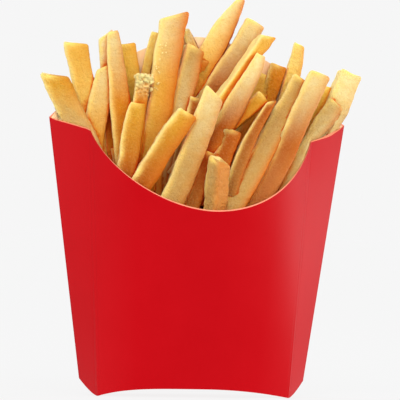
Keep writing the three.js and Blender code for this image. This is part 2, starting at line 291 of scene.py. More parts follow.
def ruled(front_row, back_row, rows):
    """Straight lines from a row of the front to the same row of the back."""
    return front_row + (back_row - front_row) * np.linspace(0, 1, rows)[:, None, None]


panels = [both_panels((front_rim, back_rim), SHEET_ROWS, inset) for inset in (0, BOARD)]
outer, inner = (round_wall(*pair) for pair in panels)
bottoms = [ruled(front[0], back[0], BOTTOM_ROWS) for front, back in panels]
loop = outer.shape[1]
wall = grid_faces(SHEET_ROWS, loop, closed=True)
base = grid_faces(BOTTOM_ROWS, len(SHARES))
ledge = grid_faces(2, loop, closed=True)
grids = [outer, inner, *bottoms, np.stack([outer[-1], inner[-1]])]
faces = [wall, wall[:, ::-1], base[:, ::-1], base, ledge]
slots = np.repeat([PRINT, BARE, PRINT, BARE, CUT], [len(quads) for quads in faces])
points, faces = joined(grids, faces)
x, y, z = points.T
gaps = {
    "from_score": np.abs(x) - np.where(y < 0, score_x(FRONT, z, x < 0), score_x(BACK, z, x < 0)),
    "from_fold": fold_x(z) - np.abs(x),
}
carton = make_object("carton_sheet", points + SHIFT, faces, gaps, slots)
merge_doubles(carton, 0.01, 0.001)
carton.data.set_sharp_from_angle(angle=math.radians(14))
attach(carton, "root")
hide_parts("carton")
print("carton closed:", closed_faces_ok(carton), "faces:", len(carton.data.polygons))

# %% [markdown]
# ## The glued seam
# The sheet is closed along one side fold only: a narrow flap of the back is turned in and glued
# to the inside of the front's strip, so two layers of board show at that corner. The flap is a
# second, smaller sheet on the strip's inner face, with its corners cut off aslant. It takes its
# form from the same formula, so it lies flat on the strip.

# %% Glue flap at the right side fold
FLAP_COLUMNS, FLAP_ROWS = 9, 13
FLAP_FROM, FLAP_TO = 1.12, 1.96  # shares of the strip where it begins and ends
FLAP_LOW, FLAP_TOP = (14, 8), (95.0, 100.2)  # heights of its edges, at those shares
GLUE = 0.1 * BOARD  # room for the glue


def flap_grid(inset):
    """Points of the front's right strip, inset mm in: columns run out to the fold, rows run up
    from a slanted lower end to a slanted top edge."""
    share = np.linspace(FLAP_FROM, FLAP_TO, FLAP_COLUMNS)
    low = np.linspace(*FLAP_LOW, FLAP_COLUMNS)
    high = np.linspace(*FLAP_TOP, FLAP_COLUMNS)
    z = low + (high - low) * np.linspace(0, 1, FLAP_ROWS)[:, None]
    x = column_x(FRONT, share, z, inset)
    slope = at_height(FRONT["score"], z) / (fold_x(z) - score_x(FRONT, z, False))
    return np.stack([x, inset * np.sqrt(1 + slope**2) - sheet_distance(FRONT, x, z), z], -1)


near, far = flap_grid(BOARD + GLUE), flap_grid(2 * BOARD + GLUE)
layers = np.stack([near, far]).reshape(-1, 3)
plate = grid_faces(FLAP_ROWS, FLAP_COLUMNS)
edge = np.concatenate([
    np.arange(FLAP_COLUMNS), np.arange(2, FLAP_ROWS + 1) * FLAP_COLUMNS - 1,
    np.arange(FLAP_ROWS * FLAP_COLUMNS - 2, (FLAP_ROWS - 1) * FLAP_COLUMNS - 1, -1),
    np.arange(FLAP_ROWS - 2, 0, -1) * FLAP_COLUMNS,
])
behind = near[..., 0].size
sides = np.stack([edge, edge + behind, np.roll(edge, -1) + behind, np.roll(edge, -1)], -1)
faces = np.concatenate([plate, plate[:, ::-1] + behind, sides])
slots = np.repeat([CUT, BARE, CUT], [len(plate), len(plate), len(sides)])
gaps = {key: np.full(len(layers), 9.0) for key in ("from_score", "from_fold")}  # no crease near
flap = make_object("carton_glue_flap", layers + SHIFT, faces, gaps, slots)
flap.data.set_sharp_from_angle(angle=math.radians(30))
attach(flap, "root")
print("flap closed:", closed_faces_ok(flap))

# %% [markdown]
# ## Shader helpers
# A material is a small chain of nodes. The main helper adds one node, sets its plain values,
# joins its inputs, and gives it back. The others make the nodes that come up again and again.
# Colours are written as they look on a screen and turned into the straight numbers that light
# is reckoned in.

# %% Helpers: colours and nodes
def light(red, green, blue):
    """Screen colour, 0 to 255, as linear light: c / 12.92 near black, else
    ((c + 0.055) / 1.055) ^ 2.4."""
    screen = np.array([red, green, blue]) / 255
    return np.where(screen < 0.04045, screen / 12.92, ((screen + 0.055) / 1.055) ** 2.4)


def node(tree, kind, inputs=None, **settings):
    """A node of that kind, its settings, and its inputs: a socket is joined, a value is set."""
    made = tree.nodes.new(kind)
    for key, value in settings.items():
        setattr(made, key, value)
    for key, value in (inputs or {}).items():
        socket = made.inputs[key]
        if isinstance(value, bpy.types.NodeSocket):
            tree.links.new(value, socket)
        else:
            socket.default_value = tuple(value) if np.ndim(value) else value
    return made


def set_plain(shader, values):
    """Plain values, the same all over, on the shader's own sockets."""
    for key, value in values.items():
        shader.inputs[key].default_value = value


def rgba(colour):
    """A colour with its alpha, 1."""
    return (*colour, 1.0)


def mix_colour(tree, share, first, second, blend="MIX"):
    """The first colour where the share is 0, the second where it is 1."""
    made = tree.nodes.new("ShaderNodeMix")
    made.data_type, made.blend_type = "RGBA", blend
    for index, value in zip((0, 6, 7), (share, first, second)):
        if isinstance(value, bpy.types.NodeSocket):
            tree.links.new(value, made.inputs[index])
        else:
            made.inputs[index].default_value = value
    return made.outputs[2]


def ramp(tree, value, low, high, to_low=0.0, to_high=1.0):
    """Straight map of low..high to to_low..to_high, held at the ends."""
    inputs = {"Value": value, "From Min": low, "From Max": high}
    inputs.update({"To Min": to_low, "To Max": to_high})
    return node(tree, "ShaderNodeMapRange", inputs).outputs["Result"]


def math_node(tree, operation, first, second=0.0):
    """One sum, difference, product or absolute value."""
    return node(tree, "ShaderNodeMath", {0: first, 1: second}, operation=operation).outputs[0]


def noise(tree, place, scale, detail, roughness=0.5):
    """Soft random values from 0 to 1, with that many patches to a metre, at a place."""
    inputs = {"Vector": place, "Scale": scale, "Detail": detail, "Roughness": roughness}
    return node(tree, "ShaderNodeTexNoise", inputs).outputs["Fac"]


def object_place(tree):
    """The place on the piece, in metres, which stays with it when it moves."""
    return node(tree, "ShaderNodeTexCoord").outputs["Object"]


def carried(tree, name, output="Fac"):
    """A value that the mesh carries for each point."""
    return node(tree, "ShaderNodeAttribute", attribute_name=name).outputs[output]


def new_material(name):
    """An empty node tree with a Principled shader joined to the output."""
    material = bpy.data.materials.new(name)
    material.use_nodes = True
    tree = material.node_tree
    return material, tree, tree.nodes["Principled BSDF"]


def join_finish(tree, shader, colour, roughness, height, relief):
    """Colour, roughness, and a bump of that height times relief, joined to the shader."""
    inputs = {"Strength": 1.0, "Distance": relief, "Height": height}
    normal = node(tree, "ShaderNodeBump", inputs).outputs["Normal"]
    sockets = ("Base Color", "Roughness", "Normal")
    for key, value in zip(sockets, (colour, roughness, normal)):
        tree.links.new(value, shader.inputs[key])


def new_group(name, inputs, outputs):
    """An empty node group with number inputs, and outputs of the kinds that are named."""
    tree = bpy.data.node_groups.new(name, "ShaderNodeTree")
    for label in inputs:
        tree.interface.new_socket(label, in_out="INPUT", socket_type="NodeSocketFloat")
    for label, kind in outputs.items():
        tree.interface.new_socket(label, in_out="OUTPUT", socket_type="NodeSocket" + kind)
    return tree, tree.nodes.new("NodeGroupInput"), tree.nodes.new("NodeGroupOutput")


print("red print in linear light:", light(200, 20, 24).round(3))

# %% [markdown]
# ## Board fibres, a shared effect
# Paperboard is pressed fibre. Even under print and varnish its surface has a faint tooth,
# and where it is bare, pale and dark fibres show as short flecks. One node group gives both: the
# flecks come from noise that is stretched along the board's grain, the tooth from finer noise.
# The three board finishes use it with their own strengths.

# %% Node group: board fibres
outputs = {"Flecks": "Float", "Tooth": "Float"}
fibres, start, end = new_group("board fibres", ["Fleck size"], outputs)
place = object_place(fibres)
grain = node(fibres, "ShaderNodeMapping", {"Vector": place, "Scale": (1000, 1000, 260)})
fleck = noise(fibres, grain.outputs[0], start.outputs["Fleck size"], 4.0, 0.6)
fibres.links.new(ramp(fibres, fleck, 0.3, 0.7), end.inputs["Flecks"])
fibres.links.new(noise(fibres, place, 2600.0, 3.0), end.inputs["Tooth"])
print("group outputs:", [s.name for s in end.inputs if s.name])

# %% [markdown]
# ## The board's three finishes
# Outside, the carton is printed in one flat red under a thin varnish, whose dull gleam grows
# towards the side strips. The creases show as fine double lines that are pressed into the
# board, and there and along the folds the red is darkened a little with painted shade. Inside,
# the bare board is a pale, warm tan. The cut edge shows the board's core, reddened by the print
# beside it. Bump is enough for the creases, which are far shallower than the board is thick.

# %% Materials: red print, bare board, cut edge
CREASE_HALF, CREASE_SOFT = 0.55, 0.3  # half width of a crease and of its soft edge, mm
CREASE_DEPTH = 0.07 * MM
# the crease and fold colour is painted shade; these say how far it darkens the red
CREASE_SHADE, FOLD_SHADE = 0.12, 0.5  # how far the red darkens there
FLECK_SIZE = 1.3
VARNISH_FROM, VARNISH_TO = (-14, 0.02), (12, 0.24)  # mm past the score line, and its gleam there


def board_material(name, colours, roughness, fleck_strength, tooth_height, creased):
    """Board fibres between two colours. On creased board a groove is pressed in along the score
    lines, where |distance from the line| - half width is near 0, and the third colour paints
    shade into the creases and along the folds."""
    material, tree, shader = new_material(name)
    group = node(tree, "ShaderNodeGroup", {"Fleck size": FLECK_SIZE}, node_tree=fibres)
    mottle = noise(tree, object_place(tree), 60.0, 3.0)
    share = math_node(tree, "MULTIPLY", group.outputs["Flecks"], fleck_strength)
    share = math_node(tree, "ADD", share, ramp(tree, mottle, 0.35, 0.65, 0, 0.3))
    colour = mix_colour(tree, share, rgba(colours[0]), rgba(colours[1]))
    height = math_node(tree, "MULTIPLY", group.outputs["Tooth"], tooth_height)
    if creased:
        gap = carried(tree, "from_score")
        off = math_node(tree, "SUBTRACT", math_node(tree, "ABSOLUTE", gap), CREASE_HALF)
        line = ramp(tree, math_node(tree, "ABSOLUTE", off), 0, CREASE_SOFT, 1, 0)
        fold = ramp(tree, carried(tree, "from_fold"), 0.1, 0.5, 1, 0)
        # painted shade in the creases and along the folds
        for where, shade in ((line, CREASE_SHADE), (fold, FOLD_SHADE)):
            share = math_node(tree, "MULTIPLY", where, shade)
            colour = mix_colour(tree, share, colour, rgba(colours[2]))
        pressed = math_node(tree, "MULTIPLY", line, CREASE_DEPTH)
        height = math_node(tree, "SUBTRACT", height, pressed)
        (near, low), (far, high) = VARNISH_FROM, VARNISH_TO
        varnish = ramp(tree, gap, near, far, low, high)
        tree.links.new(varnish, shader.inputs["Coat Weight"])
        shader.inputs["Coat Roughness"].default_value = 0.4
    rough = ramp(tree, mottle, 0.3, 0.7, roughness - 0.04, roughness + 0.04)
    join_finish(tree, shader, colour, rough, height, 1.0)
    return material, shader


# the third red is the painted shade of the creases and folds
reds = [light(175, 0, 10), light(183, 4, 16), light(157, 0, 9)]
tans = [light(255, 208, 156), light(255, 224, 180)]
cores = [light(226, 128, 96), light(236, 150, 116)]
print_red, shader = board_material("red print", reds, 0.42, 0.2, 0.004 * MM, True)
shader.inputs["Specular IOR Level"].default_value = 0.05
bare, shader = board_material("bare board", tans, 0.75, 0.7, 0.012 * MM, False)
shader.inputs["Specular IOR Level"].default_value = 0.2
cut, shader = board_material("cut edge", cores, 0.8, 0.8, 0.02 * MM, False)
for piece in (carton, flap):
    for material in (print_red, bare, cut):
        piece.data.materials.append(material)
print("carton finishes:", [m.name for m in carton.data.materials])

# %% [markdown]
# ## One fry
# A fry is a bar cut from a potato, a bit over half a centimetre square. Frying puffs its long
# edges, lets its faces sink in a little, and bends it. So its surface is a rounded square
# carried along a bowed axis: one number runs round the section, the other along the axis. Towards
# the tip the section narrows, its cut end slants, and a round-over closes it. Gentle sums
# of waves, different for each fry, give the swellings and dents that no two fries share.
# Sculpting would do for one fry, but a formula does for all of them.

# %% What a plain fry is like
AROUND, TIP_RINGS = 32, 5
# width, depth and bend in mm, turn about the axis in degrees; tip_width, a share of the width,
# is reached by the tip from taper on, a share of the length; slant is the cut end's, in mm.
USUAL = dict(
    width=6.2, depth=5.5, turn=-13, tip_width=1.0, taper=0.6, slant=0.0, bend=0.0, ragged=0.0,
    face="tan", below="tan", flank=0.55, shaded_flank_from=0.0, pale=0.7, brown=0.0, crumb=0.0,
    rings=46, seed=0)
SQUARENESS = 7.0  # exponent of the section, 2 would be round
SINK = 0.045  # how far the faces sink in, as a share of the half width
ROUND_OVER = 0.16  # length of the rounded end, as a share of the width
ROUND_IN = 0.17  # how much narrower the section gets over it
CAP = np.array([0.86, 0.6, 0.3, 0.0])  # size of the last rings, which close the end
SWELL = 0.035  # thicker and thinner stretches, as a share of the width
DENTS, HOLLOWS, SWAY = 0.08, 0.11, 0.35  # of the faces, short and long, and of the axis, mm
TORN, UNEVEN = 9, 0.18  # length of a ragged end, and unevenness of every end, mm


def waves(angle, length, random, count, turns, per_mm):
    """Sum of waves over the section's angle and the length along the axis, each with its own
    whole number of turns, wave length, phase and slant, divided by the root of their number."""
    total = np.zeros(np.broadcast(angle, length).shape)
    for _ in range(count):
        around = random.integers(0, turns + 1)
        pitch = random.uniform(*per_mm) * 2 * math.pi
        phase = random.uniform(0, 2 * math.pi)
        total += np.sin(around * angle + phase + pitch * length * random.choice([-1, 1]))
    return total / math.sqrt(count)


def fry_frame(tip, foot, turn):
    """Length, axis, the direction to the right across it, and the section's two directions,
    which are turned about the axis."""
    axis = tip - foot
    length = np.linalg.norm(axis)
    axis = axis / length
    right = np.array([1.0, 0, 0]) - axis * axis[0]
    right /= np.linalg.norm(right)
    angle = math.radians(turn)
    across = right * math.cos(angle) + np.cross(axis, right) * math.sin(angle)
    return length, axis, right, across, np.cross(axis, across)


heights = waves(np.arange(3), 0, np.random.default_rng(0), 4, 3, (0, 1))
print("a sum of waves at three angles:", heights.round(2))

# %% [markdown]
# ## The section carried along the axis
# One fry ends in a slanted cut, another is broken and rough. Both come out of the same
# formula, since each ring can be moved along the axis by a little more or less at every point
# of the section. Bending a ready-made bar with modifiers would be another way, but here the
# whole grid is worked out at once. The finish needs to know which point lies at an edge, on a
# side or near the tip, and that is easiest to say here, where both numbers are at hand.

# %% A fry as a function of two parameters
def fry_surface(tip, foot, row):
    """Grid of points of a fry, rings from its foot to its tip: axis point + across a width / 2
    + through b depth / 2, with (a, b) on the rounded square |a|^n + |b|^n = 1, times what
    swells, dents, narrows and closes it. With it come the values that its finish reads."""
    random = np.random.default_rng(row["seed"])
    tip, foot, width = np.array(tip, float), np.array(foot, float), row["width"]
    length, axis, right, across, through = fry_frame(tip, foot, row["turn"])
    polar = np.arange(AROUND) * 2 * math.pi / AROUND + math.pi / 4
    cosine, sine = np.cos(polar), np.sin(polar)
    radius = (np.abs(cosine) ** SQUARENESS + np.abs(sine) ** SQUARENESS) ** (-1 / SQUARENESS)
    radius *= 1 - SINK * np.cos(2 * polar) ** 2
    a, b = radius * cosine, radius * sine

    round_over = ROUND_OVER * width / length
    body = np.linspace(0, 1 - round_over, row["rings"])
    closing = np.linspace(0, 1, TIP_RINGS + 1)[1:]
    closing = 1 - round_over * (1 - np.sin(closing * math.pi / 2))
    f = np.concatenate([body, closing, np.ones(len(CAP))])[:, None]  # share of the way to the tip
    over = np.clip((f - 1 + round_over) / round_over, 0, 1)
    cap = np.ones_like(f)
    cap[-len(CAP) :] = CAP[:, None]
    size = cap * (1 - ROUND_IN * (1 - np.sqrt(1 - over**2)))
    along = f * length
    taper = np.clip((f - row["taper"]) / (1 - row["taper"]), 0, 1) ** 1.5
    narrow = 1 + (row["tip_width"] - 1) * taper

    swell = 1 + SWELL * waves(0, along, random, 3, 0, (0.02, 0.06))
    dents = DENTS * waves(polar, along, random, 12, 6, (0.08, 0.4))
    dents += HOLLOWS * waves(polar, along, random, 5, 2, (0.03, 0.1))
    torn = row["ragged"] * waves(polar, along, random, 8, 7, (0.2, 0.7))
    torn *= np.clip((along - length + TORN) / TORN, 0, 1)
    uneven = (UNEVEN + row["ragged"]) * waves(polar, 0, random, 4, 3, (0, 0.1)) * f**20
    lift = cap * (row["slant"] * a * f**6 / 2 + uneven)
    bow = 4 * f * (1 - f)
    bow = row["bend"] * bow + SWAY * bow * waves(0, along, random, 2, 0, (0.012, 0.03))

    grow = size * (swell * (1 + dents / (width / 2)) + torn / width)
    points = (
        foot + axis * along[..., None] + right * bow[..., None] + axis * lift[..., None]
        + across * (a * narrow * grow * width / 2)[..., None]
        + through * (b * grow * row["depth"] / 2)[..., None]
    )
    corner = np.clip((np.abs(np.sin(2 * polar)) - 0.5) / 0.5, 0, 1) ** 2.5
    corner = corner * (0.75 + 0.25 * waves(polar, along, random, 4, 2, (0.05, 0.15)))
    return points, fry_finish(row, a, f, along - length, corner, size > 0.75)


def fry_finish(row, a, f, from_tip, corner, open_end):
    """The values that the finish reads: golden crisp edges along the sides and round the tip, which
    fade out towards the right and so are partly a painted highlight on the lit left; a painted
    amber shade on the right face; a pale painted highlight at the left edge; a painted shadow low
    down;
    and crumb near the tip. a runs from -1 at the left to 1 at the right."""
    rim_of_tip = np.exp(-(((from_tip + 0.5) / 1.1) ** 2)) * open_end
    whole, shaded_flank_from = np.ones_like(f * a), row["shaded_flank_from"]
    return {
        # golden crisp edges, and a painted highlight: they fade out towards the right, away from
        # the light
        "crisp": np.clip(np.maximum(corner, rim_of_tip) * np.clip(0.7 - a, 0, 1), 0, 1),
        # painted shade: amber on the right face, away from the light
        "flank": row["flank"] * np.clip((a - shaded_flank_from) / (1 - shaded_flank_from), 0, 1) ** 1.6 * whole,
        # painted highlight on the left edge, towards the light
        "pale": row["pale"] * np.clip((-0.75 - a) / 0.2, 0, 1) * whole,
        # painted shadow on the lower part of the fry
        "brown": row["brown"] * np.clip((0.62 - f) / 0.25, 0, 1) * whole,
        "crumb": row["crumb"] * np.clip((from_tip + 10) / 6, 0, 1) * whole,
    }


sample, _ = fry_surface((0, 0, 60), (0, 0, 0), USUAL)
print("a plain fry has", sample.shape, "points and is", np.ptp(sample[..., 0]).round(2), "mm wide")

# %% [markdown]
# ## The fries that stand up
# Each row of the table is one fry: the middle of its tip, a point of its axis down in the
# carton, its width, the colours of its tip and of what lies below, picked from a few named
# ones, and what else sets it apart, such as how its end is cut. The fries are listed from left
# to right. Setting them one by one gives the heap its own face; the rest may be random.

# %% Table of fries, mm, measured from the middle of the folds
# The darker tones, rust, toast and ember, are partly the fries' own tone and partly painted shade
# for fries, and lower stretches of them, that sit in shade between others.
FACES = dict(
    ivory=light(246, 238, 194),
    cream=light(240, 222, 158),
    straw=light(241, 210, 118),
    wheat=light(229, 204, 142),
    gold=light(240, 198, 84),
    honey=light(227, 173, 68),
    beige=light(208, 180, 118),
    tan=light(196, 156, 90),
    amber=light(213, 156, 46),
    copper=light(210, 133, 25),
    toast=light(167, 110, 49),
    rust=light(176, 90, 20),
    ember=light(240, 132, 30),
)
FADE_FROM, FADE = 4, 22  # how far below the tip the second colour begins, and its fade, mm
FRIES = [
    ((-55.9, -3, 116.8), (-33.4, -5.5, 72), 9.0, "amber wheat",
     dict(turn=-23, slant=-5.2, flank=0.3)),
    ((-46.9, 1.5, 128.9), (-31.3, 2, 60), 8.5, "honey straw", dict(slant=-2.2, flank=0.2)),
    ((-35.4, 2, 132.6), (-29.2, 2, 62), 5.6, "ivory copper", dict(depth=4.5, slant=3)),
    ((-36.3, -1, 120.4), (-41.6, -1, 80), 8.7, "wheat honey",
     dict(tip_width=0.62, taper=0.55, slant=2.5)),
    ((-34.3, -4, 133.4), (-25.0, -6, 60), 8.2, "wheat copper", dict(tip_width=0.5)),
    ((-28.3, 2, 129.2), (-14.0, 0, 60), 7.8, "gold", dict(depth=4.8, slant=-0.5)),
    ((-26.4, -13, 107.2), (-33.4, -12, 62), 7.5, "amber rust",
     dict(tip_width=0.75, taper=0.8, flank=0.3)),
    ((-23.4, -9, 118.0), (-29.3, -9.5, 62), 5.4, "copper", dict(turn=-10, crumb=1, ragged=0.3)),
    ((-16.4, 2.5, 134.0), (-30.3, 3.5, 75), 4.0, "straw gold", dict(depth=3.4, tip_width=0.7)),
    ((-11.3, -5, 140.0), (-24.0, -9, 70), 9.3, "wheat honey",
     dict(depth=5.8, tip_width=1.12, taper=0.2, slant=4.5, bend=0.5, flank=1.0, shaded_flank_from=-0.5)),
    ((-9.5, -21, 104.1), (-31.0, -14, 66), 8.3, "amber rust",
     dict(bend=-1.0, flank=0.9, shaded_flank_from=-0.4)),
    ((-4.8, 2.5, 135.2), (11.6, 3.5, 92), 5.4, "cream", dict(tip_width=0.5, taper=0.5)),
    ((-3.0, -9, 109.8), (-11.0, -10, 78), 5.6, "rust", dict(depth=4.5)),
    ((-3.0, -3, 128.4), (-17.8, -8, 72), 8.0, "tan wheat",
     dict(depth=6.4, turn=0, slant=-1, flank=1.0, shaded_flank_from=-0.1)),
    ((0.7, -19, 111.6), (-19.4, -17, 60), 9.1, "wheat tan",
     dict(depth=6, tip_width=0.9, slant=-3.2, bend=1.0)),
    ((1.5, 2, 124.3), (-8.2, 0, 62), 6.9, "ember", dict(slant=-1)),
    ((2.3, -23, 86.8), (-0.2, -21, 60), 6.8, "tan", dict(depth=6.4, turn=-60, slant=-3)),
    ((0.9, -16, 90.0), (-9.6, -15, 58), 6.8, "rust toast", dict(turn=-15)),
    ((9.6, -14, 98.0), (-1.1, -15, 70), 7.2, "rust", dict(turn=-15)),
    ((15.6, 1, 146.8), (-18.9, 3, 86), 8.3, "cream gold",
     dict(turn=-20, tip_width=0.3, taper=0.8, slant=1.5, flank=0.9, shaded_flank_from=-0.5)),
    ((19.9, -13, 125.9), (-10.9, -12, 80), 8.0, "cream rust",
     dict(depth=6, turn=-20, tip_width=0.45, bend=3)),
    ((21.1, 0, 138.6), (-13.1, 0, 82), 7.7, "wheat rust", dict(slant=0.5)),
    ((23.6, -8, 133.6), (-9.3, -9, 84), 4.8, "honey gold",
     dict(depth=4.4, turn=15, tip_width=1.2, slant=2, bend=-1.2)),
    ((23.7, -15, 109.1), (4.6, -18, 62), 5.2, "rust toast",
     dict(turn=-8, tip_width=0.6, taper=0.5, slant=2, bend=-2.5)),
    ((21.9, -10, 110.8), (-8.0, -11, 85), 5.6, "amber ember", dict(depth=5)),
    ((26.5, 3, 119.5), (7.2, 2, 70), 6.4, "honey ember", {}),
    ((31.0, 2, 123.0), (11.5, 3, 66), 6.4, "copper", {}),
    ((38.8, 2, 131.1), (25.1, 3, 60), 6.6, "straw",
     dict(depth=5, tip_width=0.65, taper=0.7, slant=-1)),
    ((38.3, -6, 117.1), (6.3, -20, 66), 8.8, "tan", dict(slant=-2, flank=1.0, shaded_flank_from=0.3)),
    # this fry's lower half carries a painted shadow
    ((43.1, -11, 119.7), (13.8, -16, 60), 8.3, "wheat rust",
     dict(depth=6, tip_width=0.95, slant=0.5, bend=0.6, brown=0.4)),
    ((50.5, 1, 115.4), (35.2, 2, 75), 6.1, "gold", dict(depth=5, slant=1)),
    ((51.8, -3, 109.0), (23.0, -15, 66), 7.4, "beige", dict(turn=-15, tip_width=0.9, slant=-2)),
    ((58.0, -1, 121.0), (33.4, -4, 62), 9.0, "cream beige", dict(turn=4, slant=0.3, flank=0.3)),
]
print(len(FRIES), "fries stand up out of the carton")

# %% [markdown]
# ## Inside the walls
# Below the rim the board presses the fries in. After its shape is made, each point that
# would cross a wall is moved back to just inside it. Above the rim the room grows again, so a fry
# can lean out over the edge without a step.

# %% Keep points inside the carton
WALL_CLEAR, FOLD_CLEAR = 1.125, 1.98  # board and a hair of room, at a panel and at a fold, mm
LEAN = 0.8  # how fast the room grows above the rim


def keep_inside(points):
    """Limit x to the side folds and y to the panels, moved in by the board. Above the
    rim each limit moves out by a share of the height over it."""
    x, y, z = points[..., 0], points[..., 1], points[..., 2]
    fold_height = np.minimum(z, FOLD["top_z"])
    widest = fold_x(fold_height) - FOLD_CLEAR + LEAN * np.maximum(z - FOLD["top_z"], 0)
    x = np.clip(x, -widest, widest)
    room = []
    for panel, rim in ((FRONT, front_rim), (BACK, back_rim)):
        edge = rim(np.clip(x, -FOLD["top_x"], FOLD["top_x"]))
        height = np.minimum(z, np.maximum(edge, KINK_Z))
        reach = fold_x(height) - FOLD_CLEAR
        wall = sheet_distance(panel, np.clip(x, -reach, reach), height) - WALL_CLEAR
        room.append(wall + LEAN * np.maximum(z - edge, 0))
    return np.stack([x, np.clip(y, -room[0], room[1]), z], -1)


print("a point outside the fold moves to", keep_inside(np.array([60.0, -20.0, 80.0])).round(1))

# %% [markdown]
# ## Put the fries together
# All the standing fries become one mesh, because a heap is one thing to pick up. Each closed
# tube carries its own colour, which changes below the tip, partly to a darker painted shade, and
# the values worked out above. One more value says how deep a point lies below the front's rim,
# where the finish paints in the carton's shade.

# %% Build the standing fries
FINISH = ("crisp", "flank", "pale", "crumb", "brown")


def build_fries(name, rows):
    """One mesh of many fries. Each foot is closed by a ring that shrinks to a point. The colour
    goes from the first to the second with the distance below the tip; the second is partly the
    fry's own tone and partly painted shade lower down."""
    grids, values = [], {key: [] for key in ("face", *FINISH)}
    for tip, foot, own in rows:
        row = {**USUAL, **own}
        grid, named = fry_surface(tip, foot, row)
        foot_ring = grid[:1].mean(axis=1, keepdims=True) + 0 * grid[:1]
        grid = keep_inside(np.concatenate([foot_ring, grid]))
        grids.append(grid)
        for key, data in named.items():
            values[key].append(np.concatenate([data[:1], data]).ravel())
        down = np.clip((tip[2] - grid[..., 2] - FADE_FROM) / FADE, 0, 1).reshape(-1, 1)
        values["face"].append(FACES[row["face"]] * (1 - down) + FACES[row["below"]] * down)
    values = {key: np.concatenate(data) for key, data in values.items()}
    tubes = [grid_faces(len(grid), AROUND, closed=True) for grid in grids]
    points, faces = joined(grids, tubes)
    # painted shade: darker below the front's rim
    values["deep"] = np.clip((front_rim(points[:, 0]) + 2 - points[:, 2]) / 20, 0, 1)
    piece = make_object(name, points + SHIFT, faces, values)
    merge_doubles(piece, 0.002)
    return piece


rows = []
for number, (tip, foot, width, colours, own) in enumerate(FRIES):
    face, below = colours.split()[0], colours.split()[-1]
    rows.append((tip, foot, dict(width=width, face=face, below=below, seed=number, **own)))
standing = build_fries("fries_standing", rows)
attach(standing, "root")
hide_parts("fries")
print("faces:", len(standing.data.polygons), "closed:", closed_faces_ok(standing))

# %% [markdown]
# ## Short fries
# Behind and between the tall fries stand shorter ones. They could be placed by hand as well, but
# only bits of them show, so they are drawn at random in four rows from the back to the front,
# fanning out a little towards their tips. The draws are seeded, so the heap comes out the same
# each time.

# %% Short fries between the tall ones
# Share of the way to the back or, below zero, to the front; half width; number; height of tips.
FILLER_ROWS = [(0.66, 32, 8, 92), (0.1, 35, 8, 88), (-0.3, 33, 8, 84), (-0.68, 28, 7, 66)]
FILLER_FOOT_Z, FILLER_FAN = 58, 1.25
# their darker, redder tones are partly painted shade, as these fries stand deep between the tall
# ones
FILLER_FACES = ("ember", "honey", "copper")
STRAY = dict(x=3, share=0.15, z=8, turn=60)  # how widely the draws spread


def draws(state=11):
    """Endless seeded draws from -0.5 to 0.5: each state is the last one times 16807, modulo
    2147483647."""
    while True:
        state = state * 16807 % 2147483647
        yield state / 2147483647 - 0.5


def filler_rows():
    """Fries spread evenly across each row, then moved and turned a little at random."""
    draw = draws()
    rows = []
    for share, reach, count, tip_z in FILLER_ROWS:
        for i in range(count):
            foot_x = reach * (2 * i / (count - 1) - 1) + STRAY["x"] * next(draw)
            own_share = share + STRAY["share"] * next(draw)
            panel = FRONT if own_share < 0 else BACK
            top = tip_z + STRAY["z"] * next(draw)
            turn, seed = STRAY["turn"] * next(draw), 100 + len(rows)
            own = dict(turn=turn, face=FILLER_FACES[i % 3], rings=16, seed=seed)
            ends = ((FILLER_FAN * foot_x, top), (foot_x, FILLER_FOOT_Z))
            tip, foot = ((x, own_share * float(sheet_distance(panel, x, z)), z) for x, z in ends)
            rows.append((tip, foot, own))
    return rows


short = build_fries("fries_short", filler_rows())
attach(short, "root")
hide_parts("fries")
print("short fries:", len(short.data.polygons), "faces")

# %% [markdown]
# ## The core
# A real carton is full of fries down to its bottom. Lower down nothing of a single fry can be
# seen, so there one lumpy core fills the carton, a hair's breadth inside the board. It takes
# its walls from the sheet's own formula, and so it follows every bulge of the carton.

# %% Build the core
CORE_TOP, CORE_INSET, CORE_ROWS = 64.0, 0.85, 9
LUMPS = 1.2  # height of its top's lumps, mm


def plain_values(count, face, **own):
    """The same finish all over a piece: one colour, and 0 for each value that isn't named."""
    named = {**dict.fromkeys(FINISH, 0.0), **own}
    values = {key: np.full(count, value) for key, value in named.items()}
    return {"face": np.tile(FACES[face], (count, 1)), **values}


def core_rim(x):
    """The core ends level, at one height."""
    return np.full_like(x, CORE_TOP)


def core_sheet():
    """The walls of the core as a loop of columns, its arched bottom, and a lid whose inner
    points rise and fall by waves of a fry's width."""
    front, back = both_panels((core_rim, core_rim), CORE_ROWS, CORE_INSET)
    walls = round_wall(front, back)
    bottom, lid = (ruled(front[row], back[row], CORE_ROWS) for row in (0, -1))
    random = np.random.default_rng(5)
    lump = waves(lid[..., 1] * 0.5, lid[..., 0], random, 8, 2, (0.05, 0.12))
    lid[1:-1, 1:-1, 2] += LUMPS * lump[1:-1, 1:-1]
    return walls, bottom, lid


grids = core_sheet()
wall = grid_faces(CORE_ROWS, grids[0].shape[1], closed=True)
plate = grid_faces(CORE_ROWS, len(SHARES))
points, faces = joined(grids, [wall, plate[:, ::-1], plate])
# the whole core gets the full painted shade of the carton's depth
values = plain_values(len(points), "ember", deep=1.0)
core = make_object("fries_core", points + SHIFT, faces, values)
merge_doubles(core, 0.01)
core.data.set_sharp_from_angle(angle=math.radians(40))
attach(core, "root")
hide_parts("fries")
print("core closed:", closed_faces_ok(core))

# %% [markdown]
# ## Where fries stand close
# Where fries lie against each other little light gets in, and the finish paints a deep orange
# shade there. To know where that is, short lines are sent out from every point of the heap,
# evenly over all directions on its open side. The nearer the things they meet, the more hemmed
# in the point is. Blender tests one line at a time, so here a loop runs over the points. It is
# worked out once and carried by the mesh, so that no shader has to look for it.

